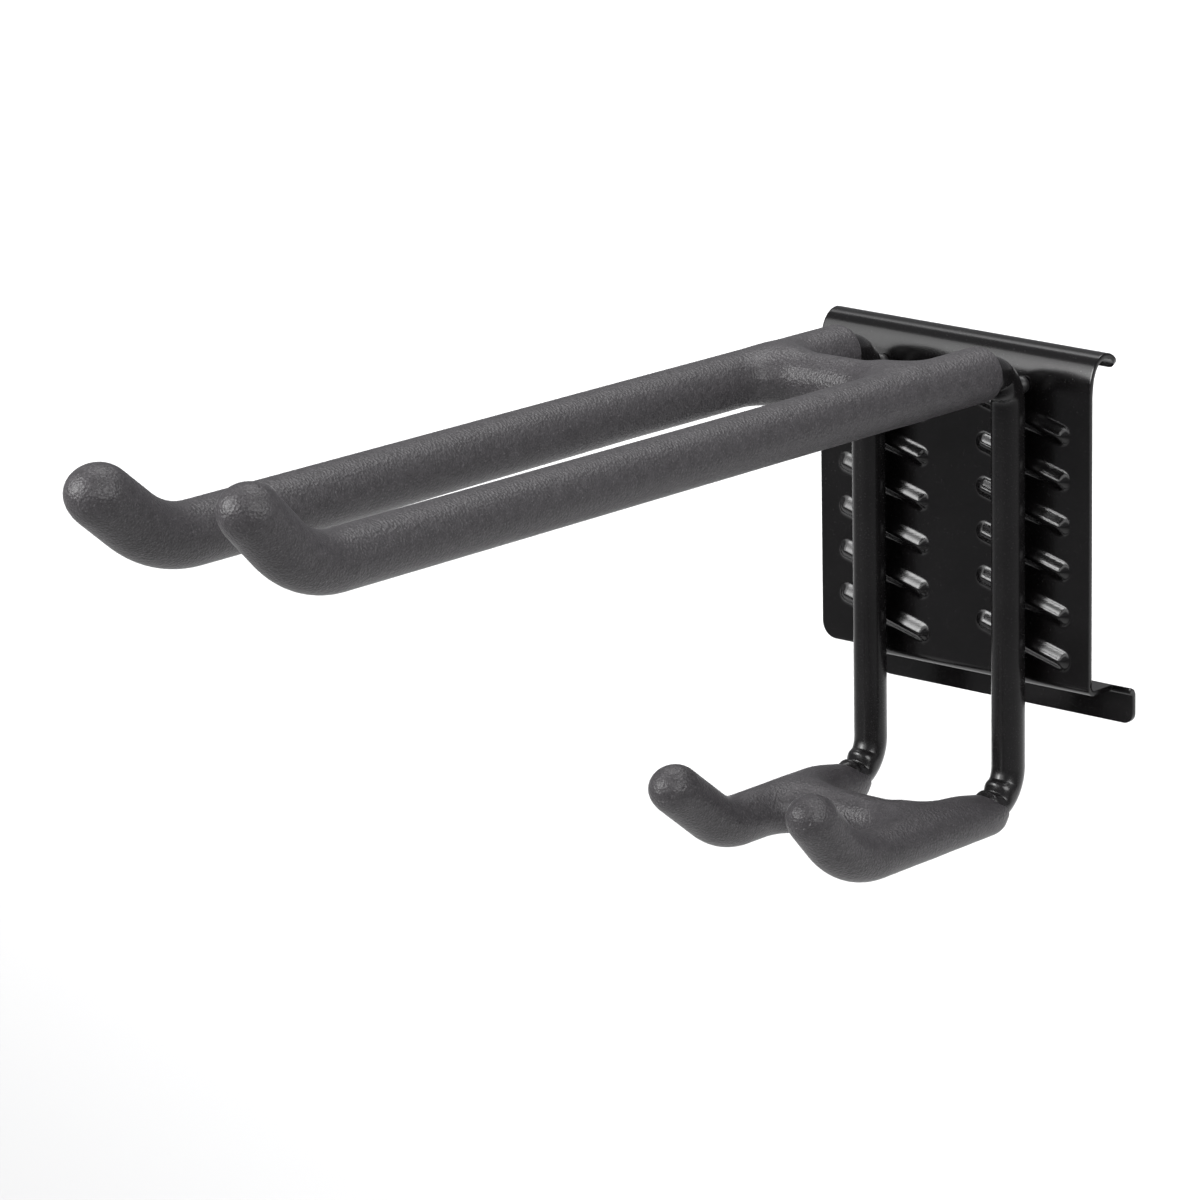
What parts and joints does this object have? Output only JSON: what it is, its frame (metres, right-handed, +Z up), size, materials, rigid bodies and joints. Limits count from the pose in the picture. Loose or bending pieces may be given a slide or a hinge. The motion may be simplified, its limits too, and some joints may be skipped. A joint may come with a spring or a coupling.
{
  "type": "bicycle wall rack",
  "caption": "Wall panel rack for a bicycle: long foam-coated arms with upturned tips over short hooks, welded to a ribbed steel plate with a rolled lip.",
  "frame": {"origin": "on the back face of the plate, on the plate's centre line, 60 mm above the underside of its shelf", "axes": "+Z up, +Y into the wall panel, -Y outwards along the arms, +X to the right for someone who faces the wall"},
  "size_m": [0.1355, 0.4331, 0.2107],
  "materials": {
    "plate_coat": "gloss black powder coat",
    "tube_coat": "semi-gloss black powder coat",
    "weld_coat": "semi-gloss black powder coat over a weld bead",
    "plug_plastic": "matte black moulded plastic",
    "foam": "matte charcoal foamed vinyl with a fine open grain"
  },
  "bodies": {
    "root": {"back_plate": "plate_coat", "frame_tube_left": "tube_coat", "arm_plug_left": "plug_plastic", "hook_plug_left": "plug_plastic", "bend_bead_left": "weld_coat", "rib_weld_left_1": "weld_coat", "rib_weld_left_2": "weld_coat", "rib_weld_left_3": "weld_coat", "rib_weld_left_4": "weld_coat", "rib_weld_left_5": "weld_coat", "rib_weld_left_6": "weld_coat", "frame_tube_right": "tube_coat", "arm_plug_right": "plug_plastic", "hook_plug_right": "plug_plastic", "bend_bead_right": "weld_coat", "rib_weld_right_1": "weld_coat", "rib_weld_right_2": "weld_coat", "rib_weld_right_3": "weld_coat", "rib_weld_right_4": "weld_coat", "rib_weld_right_5": "weld_coat", "rib_weld_right_6": "weld_coat", "upper_cross_tube": "tube_coat", "upper_cross_weld_left": "weld_coat", "upper_cross_weld_right": "weld_coat", "upper_foam_coat": "foam", "lower_cross_tube": "tube_coat", "lower_cross_weld_left": "weld_coat", "lower_cross_weld_right": "weld_coat", "lower_foam_coat": "foam"}
  },
  "joints": []
}
